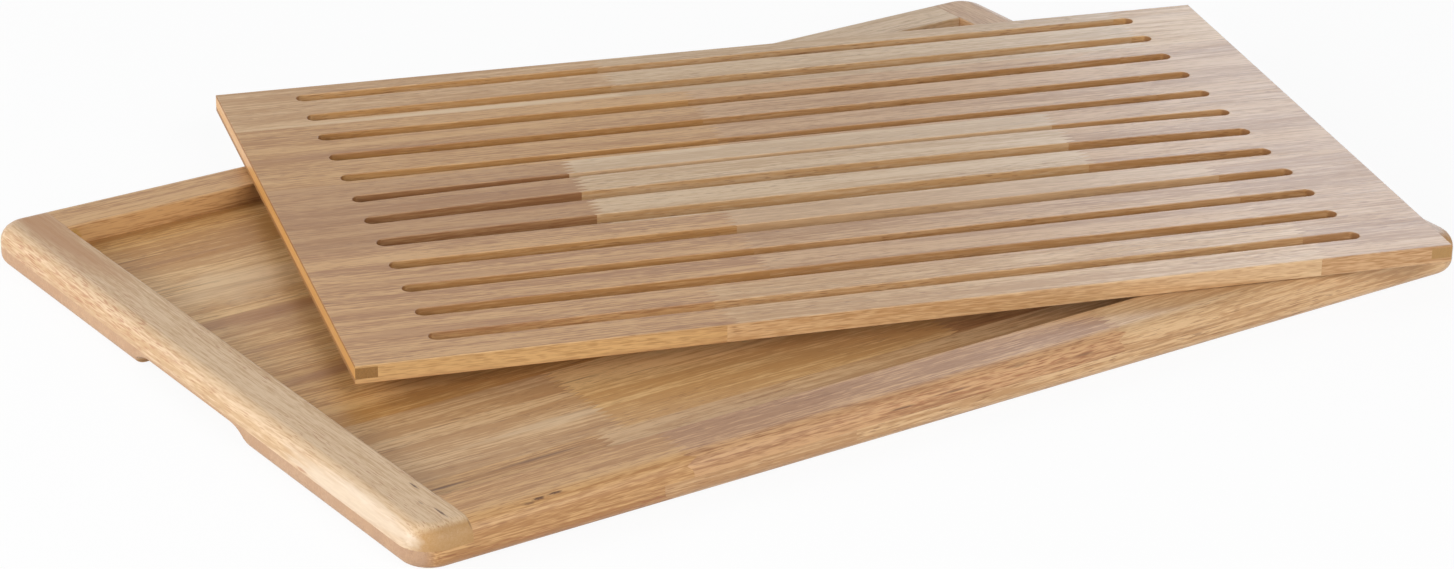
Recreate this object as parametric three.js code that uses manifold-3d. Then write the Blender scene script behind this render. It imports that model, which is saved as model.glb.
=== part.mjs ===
// A bread board: a slatted board that lies askew across the crumb tray that it drops into.
// The tray is a panel glued up from staves, with four rails on it that leave a recess. The slatted
// board is glued up from staves too, stiffened by a cross tongue in each end and slotted afterwards.
// Every stave is made of shorter lengths that meet in finger joints, and each length is a solid.
// Millimetres. X runs along the tray, Y to its back and Z up, from the middle of its underside.
import * as THREE from "three";
import { mergeVertices } from "three/addons/utils/BufferGeometryUtils.js";
import Module from "manifold-3d";

const wasm = await Module();
wasm.setup();

// Tray: its outside, its two layers and its rails
const trayLength = 600;
const trayDepth = 408;
const baseThickness = 9.8;
const railThickness = 10.1;
const sideRailWidth = 28;
const longRailWidth = 29;
const trayCornerRadius = 15.5;
const topEdgeRadius = 8.3;
const bottomEdgeRadius = 6;
const backStaveWidth = 76;
const baseStaveWidth = 68;

// Finger grips, cut from below into the tray's short sides
const gripFlatWidth = 77;
const gripEndRun = 15;
const gripHeight = 8;
const gripReach = 25;

// Slatted board
const seatClearance = 1.5;
const boardThickness = 9;
const slotCount = 12;
const slotWidth = 8.6;
const slotEndInset = 39.2;
const firstSlotInset = 15.8;
const lastSlotInset = 23.2;
const tongueWidth = 10.5;
const tongueThickness = 5.4;
const lipAboveTongue = 1.1;

// Glue lines and finger joints
const glueLine = 0.1;
const fingerLength = 6.5;
const fingerPitch = 4;

// How the board lies on the tray
const boardShiftX = 65;
const boardShiftY = 22.3;
const boardTurn = THREE.MathUtils.degToRad(-18.04);
const restGap = 0.3;

// Finger joints, staves from the back. The tray's are shares of the stave's length from its left
// end. The board's are shares of the run where the teeth meet only the slots' straight walls
const baseJointShares = [
  [0.29, 0.71],
  [0.45, 0.83],
  [0.18, 0.6],
  [0.37, 0.76],
  [0.24, 0.55],
  [0.215, 0.387],
];
const boardJointShares = [
  [0.349, 1],
  [0.425, 0.962],
  [0.235, 0.807],
  [0.367, 0.93],
  [0.294, 0.959],
];
const frontRailJointShares = [0.208, 0.654];
const backRailJointShares = [0.4, 0.73];

// Glue lines between the board's staves: each lies a share of a slat's width past a slot
const boardStaveSlots = [2, 5, 8, 11];
const boardStaveWidthShares = [0.36, 0.15, 0.1, 0.15];

// Facets of the round corners, the rounded edges and the ends of slots and grips
const cornerSteps = 8;
const edgeSteps = 6;
const slotEndSteps = 10;
const cutOverrun = 5;

// Tones of the wood, for the lengths in turn
const tones = {
  cream: 0xdcc3a0,
  tan: 0xcba77c,
  pink: 0xc9a78c,
  honey: 0xc99a5f,
  brown: 0xb98b60,
};
const baseTones = ["tan", "pink", "brown", "cream"];
const boardTones = ["pink", "cream", "tan"];
const railTones = ["tan", "pink", "honey"];

const recessLength = trayLength - 2 * sideRailWidth;
const recessDepth = trayDepth - 2 * longRailWidth;
const railBottom = baseThickness + glueLine;
const trayHeight = railBottom + railThickness;
const boardLength = recessLength - 2 * seatClearance;
const boardDepth = recessDepth - 2 * seatClearance;
const slotLength = boardLength - 2 * slotEndInset;
const boardJointRun = slotLength - slotWidth - fingerLength;
const slotPitch = (boardDepth - firstSlotInset - lastSlotInset) / (slotCount - 1);
const tongueTop = boardThickness - lipAboveTongue;
const tongueBottom = tongueTop - tongueThickness;

// A geometry as a closed solid, with the corners that its faces share merged.
function solidOf(geometry) {
  geometry.deleteAttribute("normal");
  geometry.deleteAttribute("uv");
  const merged = mergeVertices(geometry);
  return new wasm.Manifold(
    new wasm.Mesh({
      numProp: 3,
      vertProperties: merged.attributes.position.array,
      triVerts: new Uint32Array(merged.index.array),
    }),
  );
}

// A solid as a named mesh of oiled wood in one of the tones.
function woodMesh(name, solid, tone) {
  const { vertProperties, triVerts } = solid.getMesh();
  const geometry = new THREE.BufferGeometry();
  geometry.setAttribute("position", new THREE.BufferAttribute(vertProperties, 3));
  geometry.setIndex(new THREE.BufferAttribute(triVerts, 1));
  geometry.computeVertexNormals();
  const wood = new THREE.MeshStandardMaterial({
    color: tones[tone],
    roughness: 0.55,
    metalness: 0,
    flatShading: true,
  });
  const mesh = new THREE.Mesh(geometry, wood);
  mesh.name = name;
  return mesh;
}

// An outline seen from above, carried up from one height to another.
function plate(outline, bottom, top) {
  const shape = new THREE.Shape(outline);
  const geometry = new THREE.ExtrudeGeometry(shape, { depth: top - bottom, bevelEnabled: false });
  return solidOf(geometry.translate(0, 0, bottom));
}

// A box given by its lowest and highest x, y and z.
function block(left, right, front, back, bottom, top) {
  const size = new THREE.Vector3(right - left, back - front, top - bottom);
  const geometry = new THREE.BoxGeometry(size.x, size.y, size.z);
  return solidOf(geometry.translate(left + size.x / 2, front + size.y / 2, bottom + size.z / 2));
}

// The tray's whole outline as one blank with its upper and lower edges rounded by one radius.
function trayBlank(edgeRadius, bottom, top) {
  const halfLength = trayLength / 2 - edgeRadius;
  const halfDepth = trayDepth / 2 - edgeRadius;
  const radius = trayCornerRadius - edgeRadius;
  const shape = new THREE.Shape();
  shape.absarc(halfLength - radius, halfDepth - radius, radius, 0, Math.PI / 2);
  shape.absarc(radius - halfLength, halfDepth - radius, radius, Math.PI / 2, Math.PI);
  shape.absarc(radius - halfLength, radius - halfDepth, radius, Math.PI, 1.5 * Math.PI);
  shape.absarc(halfLength - radius, radius - halfDepth, radius, 1.5 * Math.PI, 2 * Math.PI);
  const geometry = new THREE.ExtrudeGeometry(shape, {
    depth: top - bottom - 2 * edgeRadius,
    curveSegments: cornerSteps,
    bevelThickness: edgeRadius,
    bevelSize: edgeRadius,
    bevelSegments: edgeSteps,
  });
  return solidOf(geometry.translate(0, 0, bottom + edgeRadius));
}

// A length's straight side across a stave, from front to back.
function straightSide(x, front, back) {
  return [new THREE.Vector2(x, front), new THREE.Vector2(x, back)];
}

// The saw-tooth side of a finger joint across a stave, from front to back. The teeth are counted
// from the back, half a pitch a step, and the last one is cut off where the stave ends.
function fingerSide(x, front, back) {
  const step = fingerPitch / 2;
  const toothX = (k) => x + (k % 2 ? fingerLength / 2 : -fingerLength / 2);
  const whole = Math.ceil((back - front) / step) - 1;
  const cutShare = (back - front) / step - whole;
  const cutX = toothX(whole) + cutShare * (toothX(whole + 1) - toothX(whole));
  const points = [new THREE.Vector2(cutX, front)];
  for (let k = whole; k >= 0; k--) {
    points.push(new THREE.Vector2(toothX(k), back - k * step));
  }
  return points;
}

// The outlines of the lengths that a stave's finger joints part it into, from left to right. The
// joints lie at shares of a run that has the same middle as the stave.
function lengthOutlines(staveLength, runLength, jointShares, front, back) {
  const joints = jointShares.map((share) => (share - 0.5) * runLength);
  const starts = joints.map((x) => fingerSide(x + glueLine / 2, front, back));
  const ends = joints.map((x) => fingerSide(x - glueLine / 2, front, back));
  starts.unshift(straightSide(-staveLength / 2, front, back));
  ends.push(straightSide(staveLength / 2, front, back));
  return starts.map((start, i) => [...ends[i], ...start.reverse()]);
}

// The front and back y of each stave of a panel, from the back, parted at the glue lines' y.
function staveSpans(panelDepth, glueLines) {
  const backs = [panelDepth / 2, ...glueLines.map((y) => y - glueLine / 2)];
  const fronts = [...glueLines.map((y) => y + glueLine / 2), -panelDepth / 2];
  return backs.map((back, i) => ({ front: fronts[i], back }));
}

const lengthNames = ["left", "middle", "right"];

// The finger grip under one short side, a flat-topped hollow with elliptical ends.
function gripHollow(side) {
  const half = gripFlatWidth / 2;
  const profile = new THREE.Shape();
  profile.moveTo(-half - gripEndRun, -cutOverrun);
  profile.lineTo(half + gripEndRun, -cutOverrun);
  profile.absellipse(half, 0, gripEndRun, gripHeight, 0, Math.PI / 2);
  profile.absellipse(-half, 0, gripEndRun, gripHeight, Math.PI / 2, Math.PI);
  const geometry = new THREE.ExtrudeGeometry(profile, {
    depth: gripReach + cutOverrun,
    curveSegments: slotEndSteps,
    bevelEnabled: false,
  });
  const axes = [new THREE.Vector3(0, 1, 0), new THREE.Vector3(0, 0, 1), new THREE.Vector3(1, 0, 0)];
  geometry.applyMatrix4(new THREE.Matrix4().makeBasis(...axes));
  const start = side < 0 ? -trayLength / 2 - cutOverrun : trayLength / 2 - gripReach;
  return solidOf(geometry.translate(start, 0, 0));
}

// The tray's bottom layer: the back stave, then staves of one width, the front one taking the rest.
function baseLengths() {
  const blank = trayBlank(bottomEdgeRadius, 0, baseThickness + bottomEdgeRadius + cutOverrun);
  const grips = gripHollow(-1).add(gripHollow(1));
  const lineCount = Math.max(1, Math.round((trayDepth - backStaveWidth) / baseStaveWidth));
  const firstLine = trayDepth / 2 - backStaveWidth;
  const glueLines = Array.from({ length: lineCount }, (_, i) => firstLine - i * baseStaveWidth);
  return staveSpans(trayDepth, glueLines).flatMap(({ front, back }, i) => {
    const shares = baseJointShares[i % baseJointShares.length];
    return lengthOutlines(trayLength, trayLength, shares, front, back).map((outline, j) => {
      const solid = plate(outline, 0, baseThickness).intersect(blank).subtract(grips);
      const name = `base_stave_${i + 1}_${lengthNames[j]}`;
      return woodMesh(name, solid, baseTones[(i + 2 * j) % baseTones.length]);
    });
  });
}

// The short rails, which run the tray's full depth.
function sideRails(blank) {
  const reach = trayLength / 2 + cutOverrun;
  const halfDepth = trayDepth / 2 + cutOverrun;
  const top = trayHeight + cutOverrun;
  const left = block(-reach, -recessLength / 2, -halfDepth, halfDepth, railBottom, top);
  const right = block(recessLength / 2, reach, -halfDepth, halfDepth, railBottom, top);
  return [
    woodMesh("left_rail", left.intersect(blank), "tan"),
    woodMesh("right_rail", right.intersect(blank), "cream"),
  ];
}

// A long rail between the short ones, in finger-jointed lengths.
function longRail(blank, name, jointShares, front, back) {
  const length = recessLength - 2 * glueLine;
  const outlines = lengthOutlines(length, length, jointShares, front, back);
  return outlines.map((outline, j) => {
    const solid = plate(outline, railBottom, trayHeight).intersect(blank);
    return woodMesh(`${name}_${lengthNames[j]}`, solid, railTones[(j + 1) % railTones.length]);
  });
}

function crumbTray() {
  const tray = new THREE.Group();
  const blank = trayBlank(topEdgeRadius, railBottom - topEdgeRadius - cutOverrun, trayHeight);
  const wall = recessDepth / 2;
  const edge = trayDepth / 2;
  tray.add(...baseLengths());
  tray.add(...sideRails(blank));
  tray.add(...longRail(blank, "front_rail", frontRailJointShares, -edge, -wall));
  tray.add(...longRail(blank, "back_rail", backRailJointShares, wall, edge));
  return tray;
}

// How far a slot's middle line lies from the board's back edge.
function slotInset(i) {
  return firstSlotInset + i * slotPitch;
}

// A slot right through the board, with half-round ends.
function slotCut(i) {
  const radius = slotWidth / 2;
  const reach = slotLength / 2 - radius;
  const y = boardDepth / 2 - slotInset(i);
  const shape = new THREE.Shape();
  shape.absarc(reach, y, radius, -Math.PI / 2, Math.PI / 2);
  shape.absarc(-reach, y, radius, Math.PI / 2, 1.5 * Math.PI);
  const geometry = new THREE.ExtrudeGeometry(shape, {
    depth: boardThickness + 2 * cutOverrun,
    curveSegments: slotEndSteps,
    bevelEnabled: false,
  });
  return solidOf(geometry.translate(0, 0, -cutOverrun));
}

// The tongue in one end of the board, or with a glue line round it the groove that takes it.
function crossTongue(side, glue, overrun) {
  const outer = boardLength / 2 + overrun;
  const inner = boardLength / 2 - tongueWidth - glue;
  const halfDepth = boardDepth / 2 + overrun;
  const left = side < 0 ? -outer : inner;
  const right = side < 0 ? -inner : outer;
  return block(left, right, -halfDepth, halfDepth, tongueBottom - glue, tongueTop + glue);
}

// The y of the glue lines between the board's staves.
function boardGlueLines() {
  const slatWidth = slotPitch - slotWidth;
  return boardStaveSlots.map((slot, i) => {
    const slotFrontEdge = slotInset(slot - 1) + slotWidth / 2;
    return boardDepth / 2 - slotFrontEdge - boardStaveWidthShares[i] * slatWidth;
  });
}

// One length of a stave, slotted. Where slots run through both its ends they part it into slats.
function slottedLength(outline, cuts, name, tone) {
  const blank = plate(outline, 0, boardThickness);
  const solid = cuts.reduce((rest, cut) => rest.subtract(cut), blank);
  const backFirst = (a, b) => b.boundingBox().max[1] - a.boundingBox().max[1];
  const bodies = solid.decompose().sort(backFirst);
  return bodies.map((body, i) => {
    return woodMesh(bodies.length > 1 ? `${name}_slat_${i + 1}` : name, body, tone);
  });
}

function slattedBoard() {
  const board = new THREE.Group();
  const cuts = Array.from({ length: slotCount }, (_, i) => slotCut(i));
  for (const side of [-1, 1]) {
    const tongueName = side < 0 ? "left_cross_tongue" : "right_cross_tongue";
    cuts.push(crossTongue(side, glueLine, cutOverrun));
    board.add(woodMesh(tongueName, crossTongue(side, 0, 0), "honey"));
  }
  staveSpans(boardDepth, boardGlueLines()).forEach(({ front, back }, i) => {
    const shares = boardJointShares[i];
    const outlines = lengthOutlines(boardLength, boardJointRun, shares, front, back);
    outlines.forEach((outline, j) => {
      const tone = boardTones[(i + 2 * j) % boardTones.length];
      board.add(...slottedLength(outline, cuts, `board_stave_${i + 1}_${lengthNames[j]}`, tone));
    });
  });
  board.position.set(boardShiftX, boardShiftY, trayHeight + restGap);
  board.rotation.z = boardTurn;
  return board;
}

const breadBoard = new THREE.Group();
breadBoard.add(crumbTray(), slattedBoard());
export default breadBoard;
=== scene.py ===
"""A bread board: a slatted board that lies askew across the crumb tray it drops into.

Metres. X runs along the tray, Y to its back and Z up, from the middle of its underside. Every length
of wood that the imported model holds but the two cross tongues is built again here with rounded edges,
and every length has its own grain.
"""

import math
from dataclasses import dataclass

import bmesh
import bpy
import numpy as np
from mathutils import Matrix, Vector

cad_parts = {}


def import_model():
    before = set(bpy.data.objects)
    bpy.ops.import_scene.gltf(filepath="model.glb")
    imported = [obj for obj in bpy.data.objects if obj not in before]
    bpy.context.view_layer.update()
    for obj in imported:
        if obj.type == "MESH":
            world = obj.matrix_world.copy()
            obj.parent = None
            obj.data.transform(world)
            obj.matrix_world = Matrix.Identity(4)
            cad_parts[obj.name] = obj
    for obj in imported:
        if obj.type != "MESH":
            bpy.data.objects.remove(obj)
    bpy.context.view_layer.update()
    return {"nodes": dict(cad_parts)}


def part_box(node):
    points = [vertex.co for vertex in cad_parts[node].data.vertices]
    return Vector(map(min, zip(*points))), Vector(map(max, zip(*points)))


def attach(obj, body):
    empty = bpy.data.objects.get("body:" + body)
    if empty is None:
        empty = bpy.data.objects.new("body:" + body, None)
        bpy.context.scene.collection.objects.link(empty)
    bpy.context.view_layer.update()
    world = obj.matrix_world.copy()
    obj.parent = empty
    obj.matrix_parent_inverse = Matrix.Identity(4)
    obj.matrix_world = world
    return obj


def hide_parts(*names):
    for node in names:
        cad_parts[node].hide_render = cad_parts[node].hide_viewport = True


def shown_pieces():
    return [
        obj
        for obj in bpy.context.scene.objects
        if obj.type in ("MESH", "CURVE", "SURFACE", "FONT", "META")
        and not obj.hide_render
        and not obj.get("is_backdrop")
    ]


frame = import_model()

MM = 0.001

# Finger joints, the same teeth in every stave
FINGER_LENGTH = 6.5 * MM
FINGER_STEP = 2 * MM
TIP_MARGIN = 0.01
GLUE_LINE = 0.1 * MM

# Rounded and eased edges
TRAY_CORNER_RADIUS = 15.5 * MM
TOP_EDGE_RADIUS = 8.3 * MM
BOTTOM_EDGE_RADIUS = 6 * MM
EASED_RADIUS = 0.45 * MM
WALL_EASED_RADIUS = 0.8 * MM
GLUED_RADIUS = 0.02 * MM
HELD_EDGE = 0.15 * MM
EDGE_END = 0.02 * MM
ROUND_STEPS = 6
CORNER_STEPS = 20
SLOT_END_STEPS = 20
RUN_SPACING = 12 * MM
SHARP_ANGLE = math.radians(35)
SAME_POINT = 0.001 * MM
STRAIGHT_MARGIN = 1e-6

# Finger grips under the tray's short sides
GRIP_FLAT_WIDTH = 77 * MM
GRIP_END_RUN = 15 * MM
GRIP_HEIGHT = 8 * MM
GRIP_REACH = 25 * MM
GRIP_STEPS = 16
GRIP_EASED_RADIUS = 0.8 * MM
GRIP_EASED_STEPS = 3
ROUND_PROFILE = 0.5
CUT_OVERRUN = 5 * MM
GRIPPED_STAVES = (3, 4)

# Slatted board
BOARD_X = 65 * MM
BOARD_Y = 22.3 * MM
BOARD_TURN = math.radians(-18.04)
SLOT_COUNT = 12
SLOT_WIDTH = 8.6 * MM
SLOT_END_INSET = 39.2 * MM
FIRST_SLOT_INSET = 15.8 * MM
LAST_SLOT_INSET = 23.2 * MM
FIRST_SLOTS_OF_STAVES = [0, 2, 5, 8, 11, 12]

# How far the middle of each slat has sprung to the front, slats from the back
SLAT_BOWS = np.array([0, -0.3, 0.95, 0.9, 0.6, -1.5, -6.15, -3.9, -0.7, 0.6, -0.65, 0.4, -0.4]) * MM
BOW_FULLNESS = 0.85

# Camera: it looks at a point on the ground beside the tray's middle
AIM = np.array([25.73, -45.08, 0]) * MM
CAMERA_DISTANCE = 2194.02 * MM
CAMERA_AZIMUTH = math.radians(-35.934)
CAMERA_ELEVATION = math.radians(23.752)
CAMERA_ROLL = math.radians(1.184)
IMAGE_WIDTH = 1454
IMAGE_HEIGHT = 569
FOCAL_PIXELS = 4492.83
CENTRE_PIXEL = (826.54, 283.41)
SENSOR_WIDTH = 36
NEAREST_SEEN = 0.05
FARTHEST_SEEN = 50

BASE_STAVES = 6
BOARD_STAVES = 5
LENGTH_NAMES = ("left", "middle", "right")


def rotation(angle):
    """The 2 by 2 matrix that turns a row of x and y by an angle, anticlockwise."""
    return np.array([[math.cos(angle), math.sin(angle)], [-math.sin(angle), math.cos(angle)]])


def tray_box(node):
    """Lowest and highest corner of one of the tray's CAD nodes."""
    low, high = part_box(node)
    return np.array(low), np.array(high)


def board_box(node):
    """Lowest and highest corner of one of the board's CAD nodes, in the board's own square frame."""
    vertices = frame["nodes"][node].data.vertices
    points = np.empty(len(vertices) * 3, np.float32)
    vertices.foreach_get("co", points)
    points = points.reshape(-1, 3).astype(float)
    points[:, :2] = (points[:, :2] - (BOARD_X, BOARD_Y)) @ rotation(-BOARD_TURN)
    return points.min(0), points.max(0)


def on_board(points):
    """Points of the board's own square frame, turned and shifted to where the board lies."""
    placed = points.copy()
    placed[:, :2] = points[:, :2] @ rotation(BOARD_TURN) + (BOARD_X, BOARD_Y)
    return placed


# Sides of a length of wood, from front to back

GLUED, EASED, ROUNDED, GROOVED = range(4)
TEETH_COLUMNS = 6


@dataclass
class Side:
    """Points, the kind of each edge between them, and for points on a finger joint what it follows.

    A row of teeth holds the joint's x, the stave's back, the y where this stretch of teeth starts and
    ends, and the kinds of the edges that it starts and ends at. It holds nan off a joint.
    """

    points: np.ndarray
    kinds: list
    teeth: np.ndarray


def plain_side(points, kind):
    """A side of one kind with no teeth."""
    points = np.asarray(points, float)
    return Side(points, [kind] * (len(points) - 1), np.full((len(points), TEETH_COLUMNS), np.nan))


def joint_x(joint, stave_back, y):
    """The x of a finger joint's side at y: a triangle wave about the joint, counted from the stave's back."""
    steps = (stave_back - y) / FINGER_STEP
    return joint + FINGER_LENGTH / 2 * (1 - 2 * np.abs(1 - np.mod(steps, 2)))


def finger_side(joint, stave_back, front, back, front_kind, back_kind):
    """A stretch of a finger joint's side, with a point at each tip and at both ends."""
    first = math.floor((stave_back - back) / FINGER_STEP + TIP_MARGIN) + 1
    last = math.ceil((stave_back - front) / FINGER_STEP - TIP_MARGIN)
    tips = stave_back - FINGER_STEP * np.arange(first, last)[::-1]
    y = np.concatenate([[front], tips, [back]])
    teeth = np.tile([joint, stave_back, front, back, front_kind, back_kind], (len(y), 1))
    return Side(np.c_[joint_x(joint, stave_back, y), y], [GLUED] * (len(y) - 1), teeth)


def run(start, end):
    """A straight run of points no further apart than the spacing."""
    count = 1 + math.ceil(np.linalg.norm(np.subtract(end, start)) / RUN_SPACING)
    return np.linspace(start, end, max(2, count))


def arc(centre, radius, first, last, steps):
    """An arc of points from one angle to another, in quarter turns."""
    angle = np.linspace(first, last, steps + 1) * math.pi / 2
    return centre + radius * np.c_[np.cos(angle), np.sin(angle)]


def joined(*sides):
    """Several sides end to end. A point that two of them share keeps the teeth of either."""
    whole = sides[0]
    for side in sides[1:]:
        shared = np.where(np.isnan(whole.teeth[-1:]), side.teeth[:1], whole.teeth[-1:])
        points = np.concatenate([whole.points, side.points[1:]])
        teeth = np.concatenate([whole.teeth[:-1], shared, side.teeth[1:]])
        whole = Side(points, whole.kinds + side.kinds, teeth)
    return whole


def slotted_side(joint, stave_back, front, back, kinds, slots, facing):
    """A toothed side with slots running into it, each a wall, a half round and a wall.

    The half rounds bulge to the left where facing is -1 and to the right where it is 1. The kinds are
    those of the stave's front and back edges.
    """
    radius = SLOT_WIDTH / 2
    reach = facing * (board_high[0] - SLOT_END_INSET - radius)
    stretches = []
    front_kind = kinds[0]
    for slot in reversed(slots):
        y = slot_y(slot)
        near, far = y - radius, y + radius
        stretches.append(finger_side(joint, stave_back, front, near, front_kind, EASED))
        stretches.append(plain_side(run((joint_x(joint, stave_back, near), near), (reach, near)), EASED))
        stretches.append(plain_side(arc((reach, y), radius, -1, -1 + 2 * facing, SLOT_END_STEPS), EASED))
        stretches.append(plain_side(run((reach, far), (joint_x(joint, stave_back, far), far)), EASED))
        front, front_kind = far, EASED
    stretches.append(finger_side(joint, stave_back, front, back, front_kind, kinds[1]))
    return joined(*stretches)


def tray_end_side(front, back, front_corner, back_corner, facing):
    """The tray's outer end, with its round corners where the stave is the front or back one."""
    radius = TRAY_CORNER_RADIUS
    x = facing * tray_high[0]
    centre_x = x - facing * radius
    points = [[(x, front)], [(x, back)]]
    if front_corner:
        points[0] = arc((centre_x, front + radius), radius, -1, -1 + facing, CORNER_STEPS)
    if back_corner:
        points[1] = arc((centre_x, back - radius), radius, 1 - facing, 1, CORNER_STEPS)
    return plain_side(np.concatenate(points), ROUNDED)


def outline_between(left, right, kinds):
    """An anticlockwise outline of two sides and straight front and back edges of the kinds given."""
    back = run(right.points[-1], left.points[-1])
    front = run(left.points[0], right.points[0])
    sides = joined(right, plain_side(back, kinds[1]), reversed_side(left), plain_side(front, kinds[0]))
    return Side(sides.points[:-1], np.array(sides.kinds), sides.teeth[:-1])


def reversed_side(side):
    """A side from back to front."""
    return Side(side.points[::-1], side.kinds[::-1], side.teeth[::-1])


# Solids


@dataclass
class Section:
    """How a length's sides go up: its lowest and highest z, and by kind of edge its two roundings.

    A groove, where there is one, is its lowest z, its highest z and its depth in a grooved edge. Tips
    are how far in from a rounded edge the finger joints have their tips.
    """

    bottom: float
    top: float
    low_radii: np.ndarray
    high_radii: np.ndarray
    groove: tuple = ()
    tips: tuple = ()

    def round_angles(self, kind, radius):
        """The angles at which a quarter round has rings: even steps, and those that meet a tip."""
        tips = [tip for tip in self.tips if kind == ROUNDED and SAME_POINT < tip < radius]
        at_tips = np.arccos(1 - np.array(tips) / radius)
        angles = np.sort(np.concatenate([np.linspace(0, math.pi / 2, ROUND_STEPS + 1), at_tips]))
        return np.pad(angles, (0, len(self.tips) - len(tips)), mode="edge")

    def rings(self):
        """Inset and height of each ring, by kind: a quarter round, a wall and a quarter round.

        A narrow flat before and after each quarter round keeps its shading off the faces beside it.
        """
        sections = []
        for kind, (low, high) in enumerate(zip(self.low_radii, self.high_radii)):
            angle = self.round_angles(kind, low)[::-1]
            rise = np.c_[low * (1 - np.cos(angle)), self.bottom + low * (1 - np.sin(angle))]
            angle = self.round_angles(kind, high)
            fall = np.c_[high * (1 - np.cos(angle)), self.top - high * (1 - np.sin(angle))]
            parts = [[(low + HELD_EDGE, self.bottom)], rise, [(0, self.bottom + low + HELD_EDGE)]]
            if self.groove:
                floor, roof, depth = self.groove
                inset = depth if kind == GROOVED else 0
                parts.append([(0, floor), (inset, floor), (inset, roof), (0, roof)])
            parts += [[(0, self.top - high - HELD_EDGE)], fall, [(high + HELD_EDGE, self.top)]]
            sections.append(np.concatenate(parts))
        return np.stack(sections)


def quarter_round(radius, inset):
    """How far a quarter round of a radius lies back from its flat at an inset from its edge."""
    rest = np.clip(radius - inset, 0, None)
    return radius - np.sqrt(np.maximum(radius**2 - rest**2, 0))


def rings_of(outline, section):
    """The outline carried up its section: each point moves in from both its edges by their insets.

    A point's height follows whichever of its two edges has the larger rounding. A point on a finger
    joint moves along the teeth instead, and stays between the rounded surfaces at either end of them.
    """
    insets_and_heights = section.rings()
    points, teeth = outline.points, outline.teeth
    ahead = np.roll(points, -1, 0) - points
    ahead /= np.linalg.norm(ahead, axis=1, keepdims=True)
    inward = np.c_[-ahead[:, 1], ahead[:, 0]]
    inward_before = np.roll(inward, 1, 0)
    after = insets_and_heights[outline.kinds]
    before = np.roll(after, 1, 0)
    cosine = (inward * inward_before).sum(1)[:, None]
    square = np.maximum(1 - cosine**2, STRAIGHT_MARGIN)
    along = (after[:, :, 0] - cosine * before[:, :, 0]) / square
    across = (before[:, :, 0] - cosine * after[:, :, 0]) / square
    bent = along[:, :, None] * inward[:, None] + across[:, :, None] * inward_before[:, None]
    straight = np.maximum(after[:, :, 0], before[:, :, 0])[:, :, None] * inward[:, None]
    moved = points[:, None] + np.where(square[:, :, None] > STRAIGHT_MARGIN, bent, straight)
    rounding = after[:, 0, 0] + after[:, -1, 0]
    rounding_before = before[:, 0, 0] + before[:, -1, 0]
    height = np.where((rounding >= rounding_before)[:, None], after[:, :, 1], before[:, :, 1])

    toothed = ~np.isnan(teeth[:, 0])
    joint, stave_back, front, back = teeth[toothed, :4].T[:, :, None]
    front_kind, back_kind = teeth[toothed, 4:].astype(int).T
    y = np.maximum(points[toothed, 1][:, None], front + insets_and_heights[front_kind][:, :, 0])
    y = np.minimum(y, back - insets_and_heights[back_kind][:, :, 0])
    moved[toothed] = np.dstack([joint_x(joint, stave_back, y), y])
    for kind, inset in ((front_kind, y - front), (back_kind, back - y)):
        roof = section.top - quarter_round(section.high_radii[kind][:, None], inset)
        floor = section.bottom + quarter_round(section.low_radii[kind][:, None], inset)
        height[toothed] = np.clip(height[toothed], floor, roof)
    return np.dstack([moved, height]).transpose(1, 0, 2)


def wood_mesh(name, rings):
    """A closed mesh of stacked rings, with the first and the last filled in."""
    levels, count = rings.shape[:2]
    start = np.arange(levels - 1)[:, None] * count + np.arange(count)
    ahead = np.arange(levels - 1)[:, None] * count + (np.arange(count) + 1) % count
    quads = np.dstack([start, ahead, ahead + count, start + count]).reshape(-1, 4).tolist()
    floor = np.arange(count)[::-1].tolist()
    roof = (np.arange(count) + (levels - 1) * count).tolist()
    mesh = bpy.data.meshes.new(name)
    mesh.from_pydata(rings.reshape(-1, 3), [], quads + [floor, roof])
    solid = bmesh.new()
    solid.from_mesh(mesh)
    bmesh.ops.remove_doubles(solid, verts=solid.verts, dist=SAME_POINT)
    solid.to_mesh(mesh)
    solid.free()
    return mesh


def wood_object(node, mesh, body):
    """The piece that stands for a CAD node, smooth but for its sharp edges."""
    mesh.shade_smooth()
    mesh.set_sharp_from_angle(angle=SHARP_ANGLE)
    piece = bpy.data.objects.new(f"{node}_wood", mesh)
    bpy.context.scene.collection.objects.link(piece)
    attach(piece, body)
    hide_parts(node)
    return piece


# The crumb tray

tray_low = tray_box("left_rail")[0]
tray_high = tray_box("right_rail")[1]


def joints_of(box, row):
    """The x of a row's two finger joints, each in the middle of its glue line."""
    reach = (GLUE_LINE - FINGER_LENGTH) / 2
    return box(f"{row}_left")[1][0] + reach, box(f"{row}_right")[0][0] - reach


def span_of(box, node, kinds):
    """A length's front and back y, out to the middle of the glue line where its edge is glued."""
    low, high = box(node)
    front, back = [GLUE_LINE / 2 if kind == GLUED else 0 for kind in kinds]
    return low[1] - front, high[1] + back


def row_sides(joints, front, back, kinds, first, last):
    """The sides of a row's three lengths, as three pairs, from its end lengths' outer sides."""
    left, right = [finger_side(x, back, front, back, *kinds) for x in joints]
    return [(first, left), (left, right), (right, last)]


def tips_of(front, back, kinds):
    """How far in from a row's rounded edge its finger joints have their tips."""
    insets = np.arange(0, back - front, FINGER_STEP)
    return tuple(insets if kinds[1] == ROUNDED else back - front - insets)


def base_section(tips):
    """The section of the tray's bottom layer."""
    low, high = tray_box("base_stave_1_middle")
    glued = GLUED_RADIUS
    low_radii = np.array([glued, glued, BOTTOM_EDGE_RADIUS])
    return Section(low[2], high[2] + GLUE_LINE / 2, low_radii, np.full(3, glued), tips=tips)


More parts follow.
